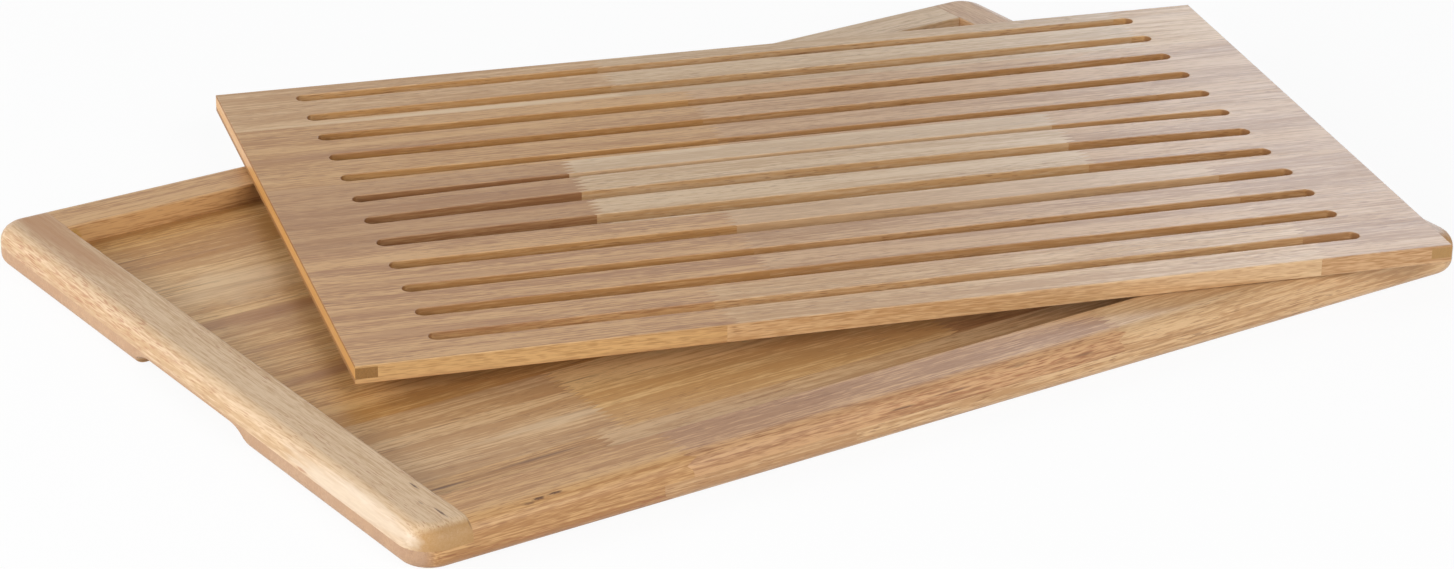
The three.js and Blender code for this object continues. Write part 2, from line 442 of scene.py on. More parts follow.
def rail_section(tips=()):
    """The section of the rails."""
    low_radii = np.full(3, GLUED_RADIUS)
    high_radii = np.array([GLUED_RADIUS, WALL_EASED_RADIUS, TOP_EDGE_RADIUS])
    return Section(tray_low[2] - GLUE_LINE / 2, tray_high[2], low_radii, high_radii, tips=tips)


def grip_cutter(facing):
    """The hollow of a finger grip: a flat-topped profile with elliptical ends, carried along X."""
    half = GRIP_FLAT_WIDTH / 2
    angle = np.linspace(0, math.pi / 2, GRIP_STEPS + 1)
    end = np.c_[half + GRIP_END_RUN * np.cos(angle), GRIP_HEIGHT * np.sin(angle)]
    foot = [(-half - GRIP_END_RUN, -CUT_OVERRUN), (half + GRIP_END_RUN, -CUT_OVERRUN)]
    profile = np.concatenate([foot, end, end[::-1] * (-1, 1)])
    outer = facing * (tray_high[0] + CUT_OVERRUN)
    inner = facing * (tray_high[0] - GRIP_REACH)
    rings = np.stack([np.c_[np.full(len(profile), x), profile] for x in sorted((inner, outer))])
    return wood_mesh("grip_cutter", rings)


def with_grip(mesh, facing, front, back):
    """The mesh with the finger grip cut from it and the rim of the cut eased."""
    piece = bpy.data.objects.new("gripped", mesh)
    cutter = bpy.data.objects.new("cutter", grip_cutter(facing))
    for item in (piece, cutter):
        bpy.context.scene.collection.objects.link(item)
    cut = piece.modifiers.new("grip", "BOOLEAN")
    cut.operation = "DIFFERENCE"
    cut.solver = "EXACT"
    cut.object = cutter
    graph = bpy.context.evaluated_depsgraph_get()
    solid = bmesh.new()
    solid.from_mesh(bpy.data.meshes.new_from_object(piece.evaluated_get(graph)))
    bpy.data.objects.remove(piece)
    bpy.data.objects.remove(cutter)
    bmesh.ops.remove_doubles(solid, verts=solid.verts, dist=SAME_POINT)
    inner = tray_high[0] - GRIP_REACH - SAME_POINT
    half = GRIP_FLAT_WIDTH / 2 + GRIP_END_RUN + SAME_POINT

    def on_rim(edge):
        """Whether both ends of an edge lie on the hollow, and not both on a glued side."""
        ends = np.array([vertex.co for vertex in edge.verts])
        in_hollow = (facing * ends[:, 0] > inner).all() and (np.abs(ends[:, 1]) < half).all()
        on_side = (np.abs(ends[:, 1] - front) < GLUED_RADIUS * 2).all()
        on_side |= (np.abs(ends[:, 1] - back) < GLUED_RADIUS * 2).all()
        low = (ends[:, 2] < GRIP_HEIGHT + SAME_POINT).all()
        return in_hollow and low and not on_side

    rim = [edge for edge in solid.edges if edge.calc_face_angle(0) > SHARP_ANGLE and on_rim(edge)]
    bmesh.ops.bevel(
        solid,
        geom=rim,
        offset=GRIP_EASED_RADIUS,
        segments=GRIP_EASED_STEPS,
        profile=ROUND_PROFILE,
        affect="EDGES",
    )
    solid.to_mesh(mesh)
    solid.free()
    return mesh


def base_lengths():
    """The tray's bottom layer, row by row from the back."""
    for stave in range(1, BASE_STAVES + 1):
        row = f"base_stave_{stave}"
        is_back, is_front = stave == 1, stave == BASE_STAVES
        kinds = ROUNDED if is_front else GLUED, ROUNDED if is_back else GLUED
        front, back = span_of(tray_box, f"{row}_middle", kinds)
        tips = tips_of(front, back, kinds) if is_front or is_back else ()
        section = base_section(tips)
        ends = [tray_end_side(front, back, is_front, is_back, facing) for facing in (-1, 1)]
        pairs = row_sides(joints_of(tray_box, row), front, back, kinds, *ends)
        for name, facing, sides in zip(LENGTH_NAMES, (-1, 0, 1), pairs):
            mesh = wood_mesh(f"{row}_{name}", rings_of(outline_between(*sides, kinds), section))
            if stave in GRIPPED_STAVES and facing:
                mesh = with_grip(mesh, facing, front, back)
            wood_object(f"{row}_{name}", mesh, "crumb_tray")


def side_rails():
    """The short rails, which run the tray's full depth."""
    section = rail_section()
    wall = tray_box("front_rail_middle")[1][1]
    inner_x = tray_box("right_rail")[0][0]
    front, back = tray_low[1], tray_high[1]
    for name, facing in (("left_rail", -1), ("right_rail", 1)):
        outer = tray_end_side(front, back, True, True, facing)
        inner = joined(
            plain_side([(facing * inner_x, y) for y in (front, wall - EDGE_END, wall)], GLUED),
            plain_side([(facing * inner_x, wall), (facing * inner_x, -wall)], EASED),
            plain_side([(facing * inner_x, y) for y in (-wall, EDGE_END - wall, back)], GLUED),
        )
        sides = (outer, inner) if facing < 0 else (inner, outer)
        mesh = wood_mesh(name, rings_of(outline_between(*sides, (ROUNDED, ROUNDED)), section))
        wood_object(name, mesh, "crumb_tray")


def long_rails():
    """The front and back rails, in lengths between the short ones."""
    for row, kinds in (("front_rail", (ROUNDED, EASED)), ("back_rail", (EASED, ROUNDED))):
        front, back = span_of(tray_box, f"{row}_middle", kinds)
        section = rail_section(tips_of(front, back, kinds))
        places = tray_box("left_rail")[1][0], tray_box("right_rail")[0][0]
        ends = [plain_side([(x, front), (x, back)], GLUED) for x in places]
        pairs = row_sides(joints_of(tray_box, row), front, back, kinds, *ends)
        for name, sides in zip(LENGTH_NAMES, pairs):
            mesh = wood_mesh(f"{row}_{name}", rings_of(outline_between(*sides, kinds), section))
            wood_object(f"{row}_{name}", mesh, "crumb_tray")


# The slatted board

board_low = board_box("board_stave_5_left")[0]
board_high = board_box("board_stave_1_right")[1]
slot_pitch = (board_high[1] - board_low[1] - FIRST_SLOT_INSET - LAST_SLOT_INSET) / (SLOT_COUNT - 1)


def slot_y(slot):
    """The y of a slot's middle line in the board's own frame, slots from the back."""
    return board_high[1] - FIRST_SLOT_INSET - slot * slot_pitch


def board_section():
    """The section of the board's lengths, with the groove that takes a cross tongue."""
    tongue_low, tongue_high = board_box("left_cross_tongue")
    depth = tongue_high[0] - tongue_low[0] + GLUED_RADIUS
    groove = tongue_low[2] - GLUED_RADIUS, tongue_high[2] + GLUED_RADIUS, depth
    radii = np.array([GLUED_RADIUS, EASED_RADIUS, EASED_RADIUS, EASED_RADIUS])
    return Section(board_low[2], board_high[2], radii, radii, groove)


def sprung(rings):
    """Rings moved to the front by their slat's bow: nothing at the slots' ends, most half way along."""
    moved = rings.copy()
    inset = board_high[1] - moved[:, :, 1]
    slat = np.clip(np.ceil((inset - FIRST_SLOT_INSET) / slot_pitch), 0, SLOT_COUNT).astype(int)
    start = board_low[0] + SLOT_END_INSET
    share = np.clip((moved[:, :, 0] - start) / (-2 * start), 0, 1)
    moved[:, :, 1] -= SLAT_BOWS[slat] * (4 * share * (1 - share)) ** BOW_FULLNESS
    return moved


def board_piece(node, left, right, kinds, section):
    """One length or slat of the board, from its two sides."""
    rings = sprung(rings_of(outline_between(left, right, kinds), section))
    mesh = wood_mesh(node, np.stack([on_board(ring) for ring in rings]))
    wood_object(node, mesh, "slatted_board")


def board_lengths():
    """The board's staves from the back: two slotted end lengths, and slats between them."""
    section = board_section()
    for stave in range(1, BOARD_STAVES + 1):
        row = f"board_stave_{stave}"
        slots = range(*FIRST_SLOTS_OF_STAVES[stave - 1 : stave + 1])
        kinds = EASED if stave == BOARD_STAVES else GLUED, EASED if stave == 1 else GLUED
        front, back = span_of(board_box, f"{row}_left", kinds)
        joints = joints_of(board_box, row)
        for name, x, joint, facing in zip(("left", "right"), (board_low[0], board_high[0]), joints, (-1, 1)):
            outer = plain_side([(x, front), (x, back)], GROOVED)
            inner = slotted_side(joint, back, front, back, kinds, slots, facing)
            sides = (outer, inner) if facing < 0 else (inner, outer)
            board_piece(f"{row}_{name}", *sides, kinds, section)
        walls = [slot_y(slot) + side * SLOT_WIDTH / 2 for slot in slots for side in (1, -1)]
        edges = [back, *walls, front]
        for slat in range(len(slots) + 1):
            slat_back, slat_front = edges[2 * slat : 2 * slat + 2]
            slat_kinds = kinds[0] if slat == len(slots) else EASED, kinds[1] if slat == 0 else EASED
            sides = [finger_side(x, back, slat_front, slat_back, *slat_kinds) for x in joints]
            board_piece(f"{row}_middle_slat_{slat + 1}", *sides, slat_kinds, section)


# Wood


def srgb(red, green, blue):
    """A colour as a screen shows it, out of 255, as the linear colour that a shader takes."""
    shares = np.array([red, green, blue]) / 255
    linear = np.where(shares <= 0.04045, shares / 12.92, ((shares + 0.055) / 1.055) ** 2.4)
    return (*linear, 1)


def new_group(name, inputs, outputs):
    """An empty shader node group with named sockets, and its input and output nodes."""
    group = bpy.data.node_groups.new(name, "ShaderNodeTree")
    for socket, kind in inputs:
        group.interface.new_socket(socket, in_out="INPUT", socket_type=f"NodeSocket{kind}")
    for socket, kind in outputs:
        group.interface.new_socket(socket, in_out="OUTPUT", socket_type=f"NodeSocket{kind}")
    return group, group.nodes.new("NodeGroupInput"), group.nodes.new("NodeGroupOutput")


def math_node(tree, operation, first, second, third=None):
    """A Math node's output; each operand is a number or another node's output."""
    node = tree.nodes.new("ShaderNodeMath")
    node.operation = operation
    for socket, value in zip(node.inputs, (first, second, third)):
        if isinstance(value, bpy.types.NodeSocket):
            tree.links.new(value, socket)
        elif value is not None:
            socket.default_value = value
    return node.outputs[0]


def stretched(tree, vector, scale):
    """A position scaled by one number along the grain and by another across it."""
    along, across = scale
    node = tree.nodes.new("ShaderNodeVectorMath")
    node.operation = "MULTIPLY"
    tree.links.new(vector, node.inputs[0])
    node.inputs[1].default_value = (along, across, across)
    return node.outputs[0]


def noise(tree, vector, detail=0.0, roughness=0.5, scale=1.0):
    """Noise at a position."""
    node = tree.nodes.new("ShaderNodeTexNoise")
    node.inputs["Scale"].default_value = scale
    node.inputs["Detail"].default_value = detail
    node.inputs["Roughness"].default_value = roughness
    tree.links.new(vector, node.inputs["Vector"])
    return node


def ramp(tree, value, low, high, to_low=0.0, to_high=1.0):
    """A value mapped smoothly from one range to another."""
    node = tree.nodes.new("ShaderNodeMapRange")
    node.interpolation_type = "SMOOTHSTEP"
    tree.links.new(value, node.inputs["Value"])
    for socket, number in (("From Min", low), ("From Max", high), ("To Min", to_low), ("To Max", to_high)):
        node.inputs[socket].default_value = number
    return node.outputs[0]


def mixed(tree, share, first, second):
    """Two colours mixed by a share; each is an output or a colour.

    The Mix node has a set of sockets for each type of data, and the numbers pick those for colours.
    """
    node = tree.nodes.new("ShaderNodeMix")
    node.data_type = "RGBA"
    tree.links.new(share, node.inputs["Factor"])
    for socket, colour in ((node.inputs[6], first), (node.inputs[7], second)):
        if isinstance(colour, bpy.types.NodeSocket):
            tree.links.new(colour, socket)
        else:
            socket.default_value = colour
    return node.outputs[2]


# How many features a metre holds along the grain and across it
DRIFT_SCALE = (3, 16)
BAND_SCALE = (1.7, 70)
STREAK_SCALE = (22, 760)
FIBRE_SCALE = (120, 1500)
VEIN_SCALE = (13, 430)
TICK_SCALE = (160, 1900)
PATCH_SCALE = (9, 70)
DRIFT = 12 * MM
GRAIN_RAGGEDNESS = 0.6
MIDDLE = 0.5

# Where each pattern begins to show and where it shows fully
BAND_EDGES = (0.32, 0.68)
STREAK_EDGES = (0.3, 0.7)
PATCH_EDGES = (0.4, 0.62)
VEIN_EDGES = (0.6, 0.76)
TICK_EDGES = (0.62, 0.76)
FLECK_EDGES = (0.5, 0.64)
SPOT_EDGES = (0.9, 1.6)

# How much of a face's normal is upwards where it starts to count as level and where it fully does
LEVEL_EDGES = (0.3, 0.8)

# How much of it is along the grain where a face starts to count as end grain and where it fully does
END_EDGES = (0.3, 0.7)

# How strong each part is where it shows
FIBRE_SHARE = 1.9
PATCHY_SHARE = 0.7
LEAST_SIDE_TONE = 0.4
UNEVEN_SIDE_TONE = 0.55
MOST_END_TONE = 1.1
END_FIBRES = -0.6

# A mark's ragged edge: how fine its noise is, and how far that reaches
SPOT_SCALE = 1.7
SPOT_RAGGEDNESS = 1.2

ROUGHNESS = 0.36
STREAK_ROUGHNESS = 0.08
END_ROUGHNESS = 0.15
SPECULAR_LEVEL = 0.4
BUMP_DISTANCE = 0.05 * MM
FIBRE_HEIGHT = 0.3

# How far along, across and up the tree each length comes after the one before it
TREE_STEP = np.array([0.731, 0.217, 0.119])


def rubberwood():
    """Rubberwood's look at a position given along and across its grain.

    Broad bands, finer streaks and fibres mix the pale tone with the dark one. Ticks are the short open
    vessels, and veins are longer and softer; both come in patches. Flecks are the same vessels, only
    denser, for the marks that show them. Upright faces take some of the side tone, a darker and more
    orange tone that paints the shade in the board's slots and is the cross tongues' own colour. Wood
    cut across its grain takes the end tone and is rougher.
    """
    inputs = [
        ("Position", "Vector"), ("Grain direction", "Vector"), ("Pale", "Color"), ("Dark", "Color"),
        ("Side", "Color"), ("End", "Color"), ("Vessel", "Color"), ("Side share", "Float"),
        ("Bands", "Float"), ("Streaks", "Float"), ("Veins", "Float"), ("Ticks", "Float"),
    ]
    outputs = [("Color", "Color"), ("Flecks", "Float"), ("Roughness", "Float"), ("Height", "Float")]
    group, entry, exit_node = new_group("rubberwood", inputs, outputs)
    at = entry.outputs
    drift = noise(group, stretched(group, at["Position"], DRIFT_SCALE), detail=1)
    drifted = group.nodes.new("ShaderNodeVectorMath")
    drifted.operation = "MULTIPLY_ADD"
    group.links.new(drift.outputs["Color"], drifted.inputs[0])
    drifted.inputs[1].default_value = (0, DRIFT, DRIFT)
    group.links.new(at["Position"], drifted.inputs[2])

    def grain(scale, detail):
        """Noise drawn out along the drifting grain."""
        place = stretched(group, drifted.outputs[0], scale)
        return noise(group, place, detail, roughness=GRAIN_RAGGEDNESS).outputs[0]

    def shifted(tone, pattern, share):
        """The tone moved up and down by a share of a pattern."""
        change = math_node(group, "MULTIPLY", math_node(group, "SUBTRACT", pattern, MIDDLE), share)
        return math_node(group, "ADD", tone, change)

    streaks = ramp(group, grain(STREAK_SCALE, detail=2), *STREAK_EDGES)
    fibres = grain(FIBRE_SCALE, detail=1)
    patches = ramp(group, grain(PATCH_SCALE, detail=1), *PATCH_EDGES)
    tone = shifted(MIDDLE, ramp(group, grain(BAND_SCALE, detail=3), *BAND_EDGES), at["Bands"])
    tone = shifted(shifted(tone, streaks, at["Streaks"]), fibres, FIBRE_SHARE)
    colour = mixed(group, ramp(group, tone, 0, 1), at["Pale"], at["Dark"])
    geometry = group.nodes.new("ShaderNodeNewGeometry")
    normal = group.nodes.new("ShaderNodeSeparateXYZ")
    group.links.new(geometry.outputs["Normal"], normal.inputs[0])
    level = math_node(group, "ABSOLUTE", normal.outputs["Z"], None)
    upright = math_node(group, "MULTIPLY", ramp(group, level, *LEVEL_EDGES, 1, 0), at["Side share"])
    uneven = math_node(group, "ADD", streaks, fibres)
    uneven = math_node(group, "MULTIPLY_ADD", uneven, UNEVEN_SIDE_TONE, LEAST_SIDE_TONE)
    colour = mixed(group, math_node(group, "MULTIPLY", upright, uneven), colour, at["Side"])

    veins = math_node(group, "MULTIPLY", ramp(group, grain(VEIN_SCALE, detail=1), *VEIN_EDGES), patches)
    colour = mixed(group, math_node(group, "MULTIPLY", veins, at["Veins"]), colour, at["Vessel"])
    vessels = grain(TICK_SCALE, detail=0)
    group.links.new(ramp(group, vessels, *FLECK_EDGES), exit_node.inputs["Flecks"])
    ticks = math_node(group, "MULTIPLY", ramp(group, vessels, *TICK_EDGES), at["Ticks"])
    patchy = math_node(group, "MULTIPLY_ADD", patches, PATCHY_SHARE, 1 - PATCHY_SHARE)
    ticks = math_node(group, "MULTIPLY", ticks, patchy)
    colour = mixed(group, ticks, colour, at["Vessel"])

    facing = group.nodes.new("ShaderNodeVectorMath")
    facing.operation = "DOT_PRODUCT"
    group.links.new(geometry.outputs["Normal"], facing.inputs[0])
    group.links.new(at["Grain direction"], facing.inputs[1])
    end_grain = ramp(group, math_node(group, "ABSOLUTE", facing.outputs["Value"], None), *END_EDGES)
    end_share = math_node(group, "MULTIPLY_ADD", fibres, END_FIBRES, MOST_END_TONE)
    end_share = math_node(group, "MULTIPLY", end_grain, end_share)
    colour = mixed(group, end_share, colour, at["End"])
    group.links.new(colour, exit_node.inputs["Color"])
    roughness = math_node(group, "MULTIPLY_ADD", streaks, STREAK_ROUGHNESS, ROUGHNESS)
    roughness = math_node(group, "MULTIPLY_ADD", end_grain, END_ROUGHNESS, roughness)
    group.links.new(roughness, exit_node.inputs["Roughness"])
    height = math_node(group, "MULTIPLY", fibres, FIBRE_HEIGHT)
    height = math_node(group, "MULTIPLY_ADD", ticks, -1, height)
    group.links.new(height, exit_node.inputs["Height"])
    return group


def spot():
    """How much of a mark shows at a place counted in the mark's half sizes: a soft and ragged spot."""
    group, entry, exit_node = new_group("spot", [("Place", "Vector")], [("Share", "Float")])
    ragged = noise(group, entry.outputs["Place"], detail=2, scale=SPOT_SCALE)
    reach = group.nodes.new("ShaderNodeVectorMath")
    reach.operation = "LENGTH"
    group.links.new(entry.outputs["Place"], reach.inputs[0])
    edge = math_node(group, "MULTIPLY_ADD", ragged.outputs[0], SPOT_RAGGEDNESS, reach.outputs["Value"])
    group.links.new(ramp(group, edge, *SPOT_EDGES, 1, 0), exit_node.inputs["Share"])
    return group


# The wood's tones: pale, dark, and a side tone for upright faces, painted shade in the board's slots
TONES = {
    "cream": (srgb(210, 181, 146), srgb(186, 152, 113), srgb(184, 140, 90)),
    "light": (srgb(210, 174, 131), srgb(181, 140, 97), srgb(186, 140, 84)),
    "straw": (srgb(218, 179, 126), srgb(187, 142, 90), srgb(188, 142, 84)),
    "honey": (srgb(207, 164, 108), srgb(176, 128, 73), srgb(194, 143, 79)),
    "tan": (srgb(201, 158, 107), srgb(166, 120, 74), srgb(172, 124, 70)),
    "brown": (srgb(184, 142, 98), srgb(158, 114, 74), srgb(136, 90, 54)),
    "russet": (srgb(198, 155, 111), srgb(158, 114, 77), srgb(168, 121, 70)),
    "striped": (srgb(203, 160, 111), srgb(162, 117, 78), srgb(172, 124, 70)),
    "rose": (srgb(199, 160, 119), srgb(166, 124, 84), srgb(168, 121, 70)),
}

# Each row's tones from left to right; a slatted row's middle tone is for all its slats
ROW_TONES = {
    "base_stave_1": ("honey", "tan", "light"),
    "base_stave_2": ("straw", "tan", "rose"),
    "base_stave_3": ("straw", "brown", "tan"),
    "base_stave_4": ("honey", "tan", "light"),
    "base_stave_5": ("light", "straw", "brown"),
    "base_stave_6": ("tan", "light", "light"),
    "front_rail": ("tan", "russet", "light"),
    "back_rail": ("tan", "tan", "cream"),
    # The first stave's slats take the paler cream tone, partly painted sheen of the board's top
    "board_stave_1": ("light", "cream", "light"),
    "board_stave_2": ("tan", "rose", "rose"),
    "board_stave_3": ("brown", "cream", "rose"),
    "board_stave_4": ("striped", "rose", "rose"),
    "board_stave_5": ("striped", "light", "rose"),
}
SINGLE_TONES = {
    "left_rail": "cream",
    "right_rail": "rose",
    "left_cross_tongue": "honey",
    "right_cross_tongue": "honey",
}


@dataclass
class Figure:
    """How the wood of one kind of piece shows: tones besides the row's own, and how strong each part is."""

    end: tuple
    bands: float
    streaks: float
    veins: float
    ticks: float
    # How much upright faces take the side tone: painted shade in the board's slots, the tongues' own colour
    side_share: float = 0
    vessel: tuple = srgb(116, 72, 40)


FIGURES = {
    "base_stave": Figure(srgb(170, 137, 111), 1.2, 1, 0.5, 0.5),
    "front_rail_left": Figure(srgb(180, 146, 118), 0.8, 0.5, 0.3, 0.4),
    "front_rail_right": Figure(srgb(180, 146, 118), 0.8, 0.7, 0.3, 0.4),
    "front_rail": Figure(srgb(180, 146, 118), 0.9, 0.8, 0.5, 0.6),
    "back_rail": Figure(srgb(180, 146, 118), 0.9, 0.7, 0.3, 0.4),
    # The board's lengths take the side tone as painted shade on their slot walls; less on the lit front stave
    "board_stave_5": Figure(srgb(133, 90, 50), 0.8, 0.65, 0.35, 0.5, 0.2),
    "board_stave": Figure(srgb(133, 90, 50), 0.8, 0.6, 0.35, 0.5, 0.65),
    "left_rail": Figure(srgb(166, 124, 70), 0.6, 0.6, 0.2, 0.6, vessel=srgb(160, 108, 72)),
    "right_rail": Figure(srgb(166, 124, 70), 0.6, 0.5, 0.2, 0.4, vessel=srgb(160, 108, 72)),
    "left_cross": Figure(srgb(128, 94, 52), 0.4, 0.4, 0, 0.1, 0.8),
    "right_cross": Figure(srgb(150, 116, 70), 0.4, 0.4, 0, 0.1, 0.8),
}


@dataclass
class Mark:
    """A spot on one piece: its middle, and its half sizes along the grain, across it and upwards, in mm.

    On a length of the slatted board the middle is in the board's own square frame. A flecked spot
    shows in the wood's flecks alone.
    """

    node: str
    middle: tuple
    half: tuple
    colour: tuple
    strength: float
    flecked: bool = False


PINKISH = srgb(170, 123, 80)
REDDISH = srgb(160, 98, 62)
DARK_STREAK = srgb(98, 66, 44)
CREAM = srgb(218, 190, 154)
BROWN = srgb(160, 114, 74)
RUSSET = srgb(148, 100, 66)
GOLDEN = srgb(152, 108, 56)
PALE_GOLD = srgb(222, 186, 126)

MARKS = [
    Mark("left_rail", (-282, 204, 18), (125, 16, 9), PINKISH, 0.85),
    Mark("left_rail", (-297, 115, 14), (150, 20, 11), REDDISH, 0.42, True),
    # A pale greyish patch on the left rail's rounding near the front: painted highlight
    Mark("left_rail", (-299, -150, 13), (80, 8, 9), srgb(214, 196, 174), 0.7),
    Mark("left_rail", (-297, 19, 11), (4, 4, 1.4), REDDISH, 0.5),
    Mark("left_rail", (-300, -105, 11), (6, 4, 1), REDDISH, 0.6),
    Mark("left_rail", (-276, -161, 19.9), (5, 0.7, 2), DARK_STREAK, 1),
    Mark("left_rail", (-282, -177, 19.9), (3, 0.6, 2), DARK_STREAK, 0.5),
    Mark("left_rail", (-279.5, -189, 19.9), (7, 0.8, 2), DARK_STREAK, 1),
    Mark("left_rail", (-272.5, -200, 16), (4, 0.7, 5), DARK_STREAK, 0.5),
    Mark("front_rail_left", (-236.5, -199.4, 19.1), (4, 1.1, 1.2), DARK_STREAK, 1),
    Mark("front_rail_left", (-228, -199, 19.3), (5, 0.9, 1.2), DARK_STREAK, 1),
    Mark("front_rail_left", (-242, -200.3, 18.6), (4, 1, 1.2), DARK_STREAK, 0.6),
    Mark("front_rail_middle", (-45, -204, 14), (9, 3, 0.7), DARK_STREAK, 0.7),
    Mark("front_rail_middle", (-16, -203, 15), (16, 3, 0.7), DARK_STREAK, 0.7),
    Mark("front_rail_middle", (21, -202, 17.5), (10, 3, 0.8), DARK_STREAK, 0.5),
    Mark("front_rail_middle", (60, -203, 14.5), (8, 3, 0.7), DARK_STREAK, 0.6),
    Mark("front_rail_middle", (20, -202, 15), (150, 8, 8), REDDISH, 0.35, True),
    Mark("front_rail_middle", (170, -196, 18), (90, 14, 6), REDDISH, 0.3, True),
    Mark("base_stave_6_left", (-90, -204, 7), (80, 4, 1.8), BROWN, 0.8),
    Mark("base_stave_6_left", (-180, -204, 4), (150, 8, 6), REDDISH, 0.35, True),
    Mark("base_stave_6_middle", (-10, -204, 8), (70, 4, 1.6), BROWN, 0.8),
    Mark("base_stave_6_middle", (20, -204, 5), (110, 8, 6), REDDISH, 0.5, True),
    Mark("base_stave_6_middle", (0, -190, 8), (400, 150, 60), BROWN, 0.25),
    Mark("base_stave_6_left", (-254, -152, 9.8), (16, 1.1, 3), DARK_STREAK, 0.8),
    Mark("base_stave_6_left", (-205, -150, 9.8), (32, 1.5, 3), DARK_STREAK, 0.6),
    Mark("base_stave_5_left", (-170, -122, 9.8), (70, 5, 3), CREAM, 0.6),
    Mark("base_stave_3_left", (-215, 44, 9.8), (70, 16, 3), BROWN, 0.45),
    Mark("base_stave_3_left", (-225, 53, 9.8), (110, 9, 3), RUSSET, 0.55),
    Mark("base_stave_3_left", (-240, 18, 9.8), (50, 4, 3), BROWN, 0.5),
    Mark("base_stave_4_left", (-190, -19, 9.8), (110, 13, 3), RUSSET, 0.75),
    Mark("base_stave_4_left", (-120, -47, 9.8), (90, 5, 3), RUSSET, 0.5),
    Mark("base_stave_5_left", (-110, -96, 9.8), (80, 3, 3), RUSSET, 0.5),
    Mark("base_stave_5_middle", (-10, -100, 9.8), (90, 4, 3), RUSSET, 0.5),
    Mark("base_stave_2_left", (-225, 92, 9.8), (50, 26, 3), CREAM, 0.4),
    Mark("base_stave_1_left", (-235, 133, 9.8), (40, 2.4, 3), BROWN, 0.6),
    Mark("back_rail_left", (-268, 176, 15), (5, 3, 4), srgb(176, 136, 58), 0.7),
    Mark("board_stave_1_left", (-120, 121, 29), (150, 3.4, 3), CREAM, 0.8),
    Mark("board_stave_5_left", (-200, -173.5, 25), (190, 1.6, 9), PALE_GOLD, 0.4),
    Mark("board_stave_5_left", (-200, -173.5, 25), (250, 1.6, 9), GOLDEN, 0.3, True),
    Mark("board_stave_5_left", (-225, -143, 29.3), (80, 7, 3), RUSSET, 0.45),
    Mark("board_stave_4_left", (-235, -118, 29.3), (70, 6, 3), BROWN, 0.5),
    Mark("board_stave_4_left", (-190, -86, 29.3), (130, 5, 3), RUSSET, 0.35),
    Mark("board_stave_2_left", (-215, 78, 29.3), (90, 6, 3), RUSSET, 0.35),
    # Broad pale, greyish tints over the middle slats of staves 3 and 4: painted sheen of the board's top
    Mark("board_stave_3_middle_slat_1", (0, 30, 29.3), (400, 60, 40), srgb(226, 206, 180), 0.18),
    Mark("board_stave_4_middle_slat_1", (0, -52, 29.3), (400, 60, 40), CREAM, 0.3),
    Mark("board_stave_5_middle_slat_2", (190, -173.5, 25), (190, 1.6, 9), CREAM, 0.32),
    Mark("board_stave_5_middle_slat_2", (50, -173.5, 25), (400, 1.6, 9), GOLDEN, 0.3, True),
    Mark("board_stave_5_right", (240, -173.5, 25), (160, 1.6, 9), GOLDEN, 0.4, True),
]


def spotted(tree, wood, marks, spot_group, grain_turn, place):
    """The wood's colour with its marks put on."""
    colour = wood.outputs["Color"]
    for mark in marks:
        middle = np.array([mark.middle]) * MM
        if mark.node.startswith("board"):
            middle = on_board(middle)
        shift = tree.nodes.new("ShaderNodeMapping")
        shift.vector_type = "TEXTURE"
        shift.inputs["Location"].default_value = middle[0]
        shift.inputs["Rotation"].default_value = (0, 0, grain_turn)
        shift.inputs["Scale"].default_value = np.array(mark.half) * MM
        tree.links.new(place, shift.inputs["Vector"])
        share = tree.nodes.new("ShaderNodeGroup")
        share.node_tree = spot_group
        tree.links.new(shift.outputs[0], share.inputs["Place"])
        strength = math_node(tree, "MULTIPLY", share.outputs["Share"], mark.strength)
        if mark.flecked:
            strength = math_node(tree, "MULTIPLY", strength, wood.outputs["Flecks"])
        colour = mixed(tree, strength, colour, mark.colour)
    return colour


def tone_of(node):
    """A node's tone, from its row and its place in it."""
    if node in SINGLE_TONES:
        return SINGLE_TONES[node]
    row = next(row for row in ROW_TONES if node.startswith(row))
    places = {"left": 0, "middle": 1, "right": 2}
    return ROW_TONES[row][places[node[len(row) + 1 :].split("_")[0]]]


def wood_material(node, number, group, spot_group):
    """The wood of one length, with its grain turned to it and taken from its own part of the tree."""
    material = bpy.data.materials.new(f"wood of {node}")
    material.use_nodes = True
    tree = material.node_tree
    shader = tree.nodes["Principled BSDF"]
    grain_turn = BOARD_TURN if node.startswith("board") or "tongue" in node else 0
    if "tongue" in node or node in ("left_rail", "right_rail"):
        grain_turn += math.pi / 2
    place = tree.nodes.new("ShaderNodeTexCoord").outputs["Object"]
    mapping = tree.nodes.new("ShaderNodeMapping")
    mapping.inputs["Rotation"].default_value = (0, 0, -grain_turn)
    mapping.inputs["Location"].default_value = TREE_STEP * number
    tree.links.new(place, mapping.inputs["Vector"])
    wood = tree.nodes.new("ShaderNodeGroup")
    wood.node_tree = group
    tree.links.new(mapping.outputs[0], wood.inputs["Position"])
    figure = next(FIGURES[start] for start in FIGURES if node.startswith(start))
    values = [(math.cos(grain_turn), math.sin(grain_turn), 0), *TONES[tone_of(node)]]
    values += [figure.end, figure.vessel, figure.side_share]
    values += [figure.bands, figure.streaks, figure.veins, figure.ticks]
    for socket, value in zip(list(wood.inputs)[1:], values):
        socket.default_value = value
    marks = [mark for mark in MARKS if mark.node == node]
    colour = spotted(tree, wood, marks, spot_group, grain_turn, place)
    bump = tree.nodes.new("ShaderNodeBump")
    bump.inputs["Distance"].default_value = BUMP_DISTANCE
    tree.links.new(wood.outputs["Height"], bump.inputs["Height"])
    tree.links.new(colour, shader.inputs["Base Color"])
    tree.links.new(bump.outputs["Normal"], shader.inputs["Normal"])
    tree.links.new(wood.outputs["Roughness"], shader.inputs["Roughness"])
    shader.inputs["Specular IOR Level"].default_value = SPECULAR_LEVEL
    return material


